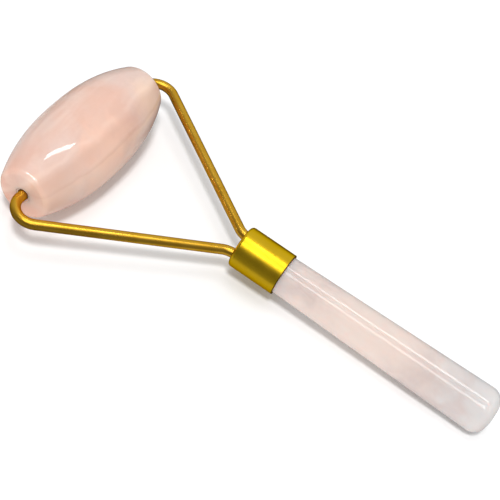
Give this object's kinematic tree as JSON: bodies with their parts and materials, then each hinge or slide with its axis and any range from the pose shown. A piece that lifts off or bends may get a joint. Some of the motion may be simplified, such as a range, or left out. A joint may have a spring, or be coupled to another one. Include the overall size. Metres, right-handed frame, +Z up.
{
  "type": "face roller",
  "caption": "Hand-held face massage roller: a barrel of polished pink stone turns in a bent wire yoke, which a metal collar bonds to a tapered stone handle.",
  "frame": {"origin": "On the surface the roller rests on, under the middle of the whole object's bounding box", "axes": "+X points from the barrel to the handle's free end, Y runs along the barrel's axis, +Z is up. The roller lies at rest: the barrel's middle and the rim of the handle's end touch z = 0, so the handle slopes down by 2.7 degrees"},
  "size_m": [0.1558, 0.0768, 0.0274],
  "materials": {
    "roller_stone": "polished",
    "handle_stone": "polished",
    "gold_wire": "satin",
    "gold_collar": "satin",
    "nylon": "natural",
    "resin": "cured"
  },
  "bodies": {
    "handle": {"handle_stone": "handle_stone", "collar": "gold_collar", "bonding_resin": "resin", "yoke_wire": "gold_wire"},
    "roller": {"roller_stone": "roller_stone", "sleeve_left": "nylon", "sleeve_right": "nylon"}
  },
  "joints": [
    {"name": "roller_spin", "type": "hinge", "parent": "handle", "child": "roller", "pos_m": [-0.06424, 0, 0.0137], "axis": [0, 1, 0], "continuous": true}
  ]
}
